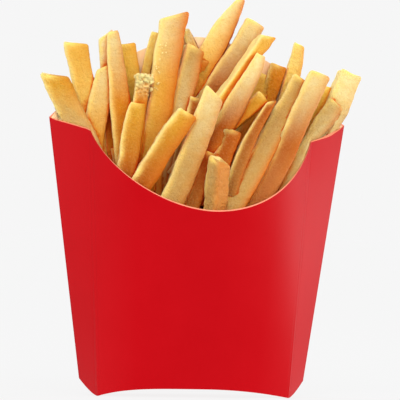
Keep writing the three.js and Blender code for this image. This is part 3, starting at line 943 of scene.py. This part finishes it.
# %% How hemmed in each point is
RAYS, REACH = 40, 6.0  # lines from each point, and their length in mm
START, LEAST = 0.1, 0.2  # where they start, mm off the face; least cosine with its normal


def even_directions(count):
    """Directions spread evenly over a ball: even steps in height, and in turn by the golden
    angle."""
    step = np.arange(count) + 0.5
    polar, turn = np.arccos(1 - 2 * step / count), step * math.pi * (1 + math.sqrt(5))
    spread = [np.cos(turn) * np.sin(polar), np.sin(turn) * np.sin(polar), np.cos(polar)]
    return [Vector(direction) for direction in np.stack(spread, -1)]


def hemmed_in(piece, trees):
    """How closely other surfaces stand round each point, over the half space its face looks
    into: the mean of 1 - distance / REACH over the lines, 0 for a line that meets nothing."""
    rays, shares, reach = even_directions(RAYS), [], REACH * MM
    for vertex in piece.data.vertices:
        normal = vertex.normal
        start = vertex.co + normal * (START * MM)
        total, count = 0.0, 0
        for ray in rays:
            if ray.dot(normal) > LEAST:
                hits = [tree.ray_cast(start, ray, reach)[3] for tree in trees]
                total += max(1 - hit / reach if hit is not None else 0.0 for hit in hits)
                count += 1
        shares.append(total / max(count, 1))
    carrier = piece.data.attributes.new("hemmed", "FLOAT", "POINT")
    carrier.data.foreach_set("value", np.array(shares, np.float32))
    return np.mean(shares)


heap = [standing, short, core]
trees = []
for mesh in (piece.data for piece in heap):
    corners, sides = [v.co for v in mesh.vertices], [p.vertices for p in mesh.polygons]
    trees.append(BVHTree.FromPolygons(corners, sides))
for piece in heap:
    print(piece.name, "mean hemmed-in share:", round(float(hemmed_in(piece, trees)), 2))

# %% [markdown]
# ## Crumbs
# One fry is broken at its tip and carries a clump of loose crumbs, and a few more have stuck to
# the fry beside it. A crumb is a small ball with its radius roughened by waves. With few points
# to a ball, a clump of them is cheap and still looks crumbly.

# %% Crumbs on a broken tip
CRUMB_RINGS, CRUMB_AROUND = 7, 8
BROKEN_TIP = np.array([-23.4, -9, 117.6])
CLUMP, LOOSE = 70, 26  # crumbs on the tip and beside it
STUCK_FROM, STUCK_TO = 112, 130  # heights between which they stick to the face beside it
STUCK_X, STUCK_Y, STUCK_LEAN = -19.6, -9.2, 0.2  # place of that face, and how far it leans


def crumb_ball(middle, size, random):
    """Rings from pole to pole: the point at two angles lies at size (1 + waves) from the middle."""
    tilt = np.linspace(0, math.pi, CRUMB_RINGS)[:, None]
    turn = np.arange(CRUMB_AROUND) * 2 * math.pi / CRUMB_AROUND
    radius = size * (1 + 0.28 * np.sin(tilt) * waves(turn, tilt, random, 4, 2, (0.3, 0.8)))
    ball = [np.sin(tilt) * np.cos(turn), np.sin(tilt) * np.sin(turn), -np.cos(tilt) + 0 * turn]
    return middle + radius[..., None] * np.stack(ball, -1)


def crumbs(random):
    """Crumb grids: a clump round the broken tip, and single ones down a neighbour's face."""
    for _ in range(CLUMP):
        off = random.uniform(-2.9, 2.9), random.uniform(-3.1, 2.2), -random.exponential(1.6)
        yield crumb_ball(BROKEN_TIP + off, random.uniform(0.45, 0.95), random)
    for _ in range(LOOSE):
        z = random.uniform(STUCK_FROM, STUCK_TO)
        x = STUCK_X + (z - STUCK_FROM) * STUCK_LEAN + random.uniform(-1.8, 1.6)
        yield crumb_ball(np.array([x, STUCK_Y, z]), random.uniform(0.15, 0.35), random)


grids = list(crumbs(np.random.default_rng(21)))
ball = grid_faces(CRUMB_RINGS, CRUMB_AROUND, closed=True)
points, faces = joined(grids, [ball] * len(grids))
# the crumbs get half the pale painted highlight all over, and no painted shade
values = plain_values(len(points), "cream", crisp=0.3, pale=0.5, crumb=0.3, deep=0.0, hemmed=0.0)
crumb_piece = make_object("fries_crumbs", points + SHIFT, faces, values)
merge_doubles(crumb_piece, 0.001)
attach(crumb_piece, "root")
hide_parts("fries")
print("crumbs:", len(grids), "closed:", closed_faces_ok(crumb_piece))

# %% [markdown]
# ## Fried crust
# A fry's face is pale and slightly mottled, with a dry, finely blistered skin. Its long edges and
# the rim of its cut end fry crisper and turn golden; that gold is stronger on the left, lit side,
# so it is partly a painted highlight. The right side gets a painted amber shade, the left edge a
# pale painted highlight, a broken end shows pale crumbs, and where fries press together the crust
# gets a deep orange painted shade. Pictures laid on the surface could show that too, but would
# have to be laid round every fry. One node group does it for all of them. It starts from three
# noises, for the mottling, the specks and pits, and the blisters.

# %% Node group: fried crust
outputs = {"Color": "Color", "Roughness": "Float", "Height": "Float"}
crust, start, end = new_group("fried crust", ["Mottling", "Golden and lit edges"], outputs)
place = object_place(crust)
patch, speckle = noise(crust, place, 330.0, 3.0, 0.55), noise(crust, place, 1500.0, 4.0, 0.65)
cells = node(crust, "ShaderNodeTexVoronoi", {"Vector": place, "Scale": 900.0}, feature="SMOOTH_F1")
blister = cells.outputs["Distance"]
print("crust noises:", [n.name for n in crust.nodes if "Texture" in n.name])

# %% [markdown]
# ## The crust, layer by layer
# The colour starts as the face's own, and each layer of the list goes over it where its share
# says so, from the values that the mesh carries and from the noises. A layer that darkens the
# crust multiplies, one that covers it mixes. The order matters: the edges' gold lies over the
# painted shade of the amber flank, the painted shade below the rim and between fries darkens
# both, and the pale painted highlight at the left edge comes last. The same noises raise the
# relief, so light and colour agree.

# %% Colour, roughness and relief of the crust
def times(first, second):
    """A product in the crust's group."""
    return math_node(crust, "MULTIPLY", first, second)


mottled = times(ramp(crust, patch, 0.35, 0.68), start.outputs["Mottling"])
golden = times(carried(crust, "crisp"), start.outputs["Golden and lit edges"])
golden = times(golden, ramp(crust, patch, 0.3, 0.6, 0.6, 1.0))
crumbly = times(carried(crust, "crumb"), ramp(crust, blister, 0.2, 0.55, 0.2, 0.8))
hemmed = carried(crust, "hemmed")
LAYERS = [  # share, screen colour, how it is mixed in
    (mottled, (252, 234, 198), "MULTIPLY"),
    (times(ramp(crust, speckle, 0.5, 0.7), 0.1), (255, 226, 160), "MIX"),  # pale specks
    (ramp(crust, speckle, 0.5, 0.3, 0, 0.25), (232, 190, 136), "MULTIPLY"),  # darker pits
    # painted shade: amber on the right side of each fry, away from the light
    (carried(crust, "flank"), (210, 108, 16), "MIX"),
    # golden crisp edges, partly a painted highlight on the lit left side
    (golden, (255, 224, 122), "MIX"),
    # painted shadow low down on a fry
    (carried(crust, "brown"), (196, 132, 74), "MIX"),
    (crumbly, (255, 226, 150), "MIX"),
    # painted shade, darker below the front's rim
    (carried(crust, "deep"), (206, 142, 70), "MULTIPLY"),
    # painted shade between fries that stand close: yellower, then deep orange where they stand
    # closest
    (ramp(crust, hemmed, 0.1, 0.6), (252, 214, 104), "MULTIPLY"),
    (ramp(crust, hemmed, 0.2, 0.5, 0, 0.7), (246, 110, 6), "MULTIPLY"),
    # painted highlight on the left edge of each fry, over all the shade
    (carried(crust, "pale"), (255, 232, 156), "MIX"),
]
colour = carried(crust, "face", "Color")
for share, tint, blend in LAYERS:
    colour = mix_colour(crust, share, colour, rgba(light(*tint)), blend)
height = times(times(blister, carried(crust, "crumb")), 0.8)
for bumps, share in ((patch, 0.30), (speckle, 0.26), (blister, 0.10)):
    height = math_node(crust, "ADD", times(bumps, share), height)
crust.links.new(colour, end.inputs["Color"])
crust.links.new(ramp(crust, speckle, 0.3, 0.7, 0.42, 0.66), end.inputs["Roughness"])
crust.links.new(height, end.inputs["Height"])
print("crust nodes:", len(crust.nodes))

# %% [markdown]
# ## The fries' two finishes
# The same crust serves the tall fries and, with weaker edges and less relief, the short ones and
# the core. Inside, a fry is soft, moist potato, and a little light passes through it and
# softens its shaded sides. Subsurface scattering gives that. Its reach is kept near a
# millimetre, since a long one would leave dull smudges where fries touch.

# %% Materials: fry crust, and the crust deeper in the carton
def crust_material(name, mottling, edges, relief):
    """The crust group with its own strengths, over a little light that passes through."""
    material, tree, shader = new_material(name)
    strengths = {"Mottling": mottling, "Golden and lit edges": edges}
    group = node(tree, "ShaderNodeGroup", strengths, node_tree=crust)
    join_finish(tree, shader, *(group.outputs[key] for key in outputs), relief * MM)
    set_plain(shader, {
        "Specular IOR Level": 0.12, "Subsurface Weight": 0.4,
        "Subsurface Radius": (0.8, 0.9, 1.0), "Subsurface Scale": 1.2 * MM})
    return material


standing.data.materials.append(crust_material("fry crust", 0.7, 0.85, 2.6))
deeper = crust_material("fry crust deep in the carton", 0.7, 0.6, 1.2)
short.data.materials.append(deeper)
core.data.materials.append(deeper)
crumb_piece.data.materials.append(standing.data.materials[0])
print("fry finishes:", [piece.data.materials[0].name for piece in (standing, short, core)])

# %% [markdown]
# ## Studio
# The carton stands on a plain pale floor in a pale room, whose light is a little stronger from
# the left. Two very soft lamps, one from the upper left front and one from the right front,
# model the fries, and a soft box at the right puts the dull gleam on the carton's side strip.
# The camera sees one even tone for the room, and the floor glows just enough to meet it.

# %% Floor, room and lamps
PALE = 0.922  # the room, as seen
FLOOR_GLOW = 0.858  # brings the lit floor to the same tone
floor_mesh = bpy.data.meshes.new("floor")
floor_mesh.from_pydata([(-6, -6, 0), (6, -6, 0), (6, 6, 0), (-6, 6, 0)], [], [(0, 1, 2, 3)])
floor = bpy.data.objects.new("floor", floor_mesh)
bpy.context.scene.collection.objects.link(floor)
material, tree, shader = new_material("pale floor")
set_plain(shader, {
    "Base Color": (0.05, 0.05, 0.05, 1), "Roughness": 0.9, "Specular IOR Level": 0.0,
    "Emission Color": (1, 1, 1, 1), "Emission Strength": FLOOR_GLOW})
floor_mesh.materials.append(material)

world = bpy.data.worlds.new("pale room")
bpy.context.scene.world = world
world.use_nodes = True
tree = world.node_tree
tree.nodes.clear()
outwards = node(tree, "ShaderNodeTexCoord").outputs["Generated"]
sideways = node(tree, "ShaderNodeSeparateXYZ", {0: outwards}).outputs["X"]
room_light = ramp(tree, sideways, -0.7, 0.1, 1.15, 0.95)
seen = node(tree, "ShaderNodeLightPath").outputs["Is Camera Ray"]
lit = node(tree, "ShaderNodeBackground", {"Color": (1, 1, 1, 1), "Strength": room_light})
shown = node(tree, "ShaderNodeBackground", {"Color": (PALE, PALE, PALE, 1), "Strength": 1.0})
both = node(tree, "ShaderNodeMixShader", {0: seen, 1: lit.outputs[0], 2: shown.outputs[0]})
node(tree, "ShaderNodeOutputWorld", {"Surface": both.outputs[0]})


def aimed(place, target, up=(0, 0, 1)):
    """Placement matrix at a place, looking along -Z at the target with +Y towards up."""
    back = np.array(place, float) - np.array(target, float)
    back /= np.linalg.norm(back)
    right = np.cross(up, back)
    right /= np.linalg.norm(right)
    turned = np.eye(4)
    turned[:3] = np.stack([right, np.cross(back, right), back, place], 1)
    return Matrix(turned.tolist())


def lamp(name, kind, place, target, power, **settings):
    """A lamp of that kind at a place, aimed at the target, which the camera doesn't see."""
    light_data = bpy.data.lights.new(name, kind)
    light_data.energy = power
    for key, value in settings.items():
        setattr(light_data, key, value)
    made = bpy.data.objects.new(name, light_data)
    made.matrix_world = aimed(place, target)
    made.visible_camera = False
    bpy.context.scene.collection.objects.link(made)
    return made


middle = (0.0, 0.0, 0.08)
lamp("key", "SUN", (-0.55, -1.0, 0.8), middle, 0.88, angle=math.radians(40)).visible_glossy = False
lamp("fill", "SUN", (0.2, -1.0, 0.5), middle, 0.9, angle=math.radians(60)).visible_glossy = False
lamp("side box", "AREA", (0.9, 0.02, 0.10), middle, 6.0, shape="RECTANGLE", size=0.35, size_y=0.7)

# %% [markdown]
# ## Camera and colours
# The camera looks level, from a little left of the front and from far off, so upright lines
# stay almost parallel, and it leans by a degree or so. The plain view transform keeps colours
# as they were written.

# %% Camera
CAMERA_TURN, CAMERA_LEAN = math.radians(15), math.radians(1.4)
SENSOR_WIDTH = 36.0  # mm
CAMERA_DISTANCE, SEEN_WIDTH = 1500.0, 147.93  # mm
AIM = np.array([1.36, -0.36, 72.41]) + SHIFT
looking = np.array([math.sin(CAMERA_TURN), math.cos(CAMERA_TURN), 0.0])
to_right = np.array([math.cos(CAMERA_TURN), -math.sin(CAMERA_TURN), 0.0])
camera_up = np.array([0, 0, 1.0]) * math.cos(CAMERA_LEAN) - to_right * math.sin(CAMERA_LEAN)
camera_data = bpy.data.cameras.new("camera")
camera_data.sensor_width = SENSOR_WIDTH
camera_data.lens = SENSOR_WIDTH * CAMERA_DISTANCE / SEEN_WIDTH
camera_data.clip_start, camera_data.clip_end = 0.05, 30.0
camera = bpy.data.objects.new("camera", camera_data)
camera.matrix_world = aimed((AIM - looking * CAMERA_DISTANCE) * MM, AIM * MM, camera_up)
bpy.context.scene.collection.objects.link(camera)
bpy.context.scene.camera = camera
bpy.context.scene.view_settings.view_transform = "Standard"
print("lens:", round(camera_data.lens), "mm")
